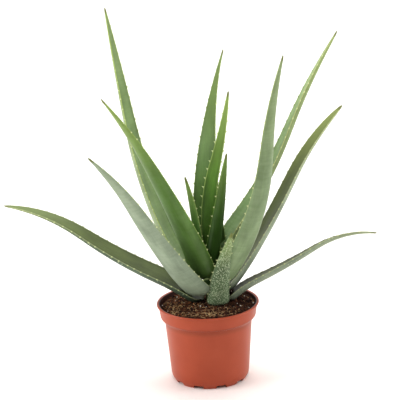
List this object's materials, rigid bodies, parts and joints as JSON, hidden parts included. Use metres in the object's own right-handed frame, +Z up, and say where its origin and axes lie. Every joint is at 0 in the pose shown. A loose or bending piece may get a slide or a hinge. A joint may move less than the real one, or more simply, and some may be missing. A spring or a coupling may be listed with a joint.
{
  "type": "potted aloe plant",
  "caption": "Young aloe rosette of long tapering toothed leaves on a short stem, rooted in potting soil in a round tapered nursery pot with a banded rim.",
  "frame": {"origin": "on the pot's axis, in the plane of its foot", "axes": "+Z up along the pot's axis; -Y is the plant's front; +X is to the right seen from the front"},
  "size_m": [0.4408, 0.1464, 0.4343],
  "materials": {
    "leaf_bright": "young waxy leaf skin, bright green, satin",
    "leaf_deep": "waxy leaf skin, deep green, satin",
    "leaf_bloom": "leaf skin under a grey-green wax bloom, with pale flecks",
    "leaf_olive": "older leaf skin, olive green, satin",
    "pot": "moulded terracotta-coloured plastic, satin",
    "soil": "loose coco and peat potting mix, damp and rough",
    "stem": "short fleshy stem with dry leaf scars",
    "root": "pale fleshy roots"
  },
  "bodies": {
    "root": {"leaf_centre_small": "leaf_bright", "leaf_centre_second": "leaf_bright", "leaf_left_middle": "leaf_bright", "leaf_right_back": "leaf_bright", "leaf_left_tall": "leaf_bright", "leaf_centre_third": "leaf_deep", "leaf_centre_tall": "leaf_deep", "leaf_right_front": "leaf_bloom", "leaf_left_second": "leaf_bloom", "leaf_front_small": "leaf_bloom", "leaf_right_middle": "leaf_olive", "leaf_right_low": "leaf_olive", "leaf_left_low": "leaf_olive", "pot": "pot", "soil": "soil", "stem": "stem", "root_1": "root", "root_2": "root", "root_3": "root", "root_4": "root", "root_5": "root"}
  },
  "joints": []
}
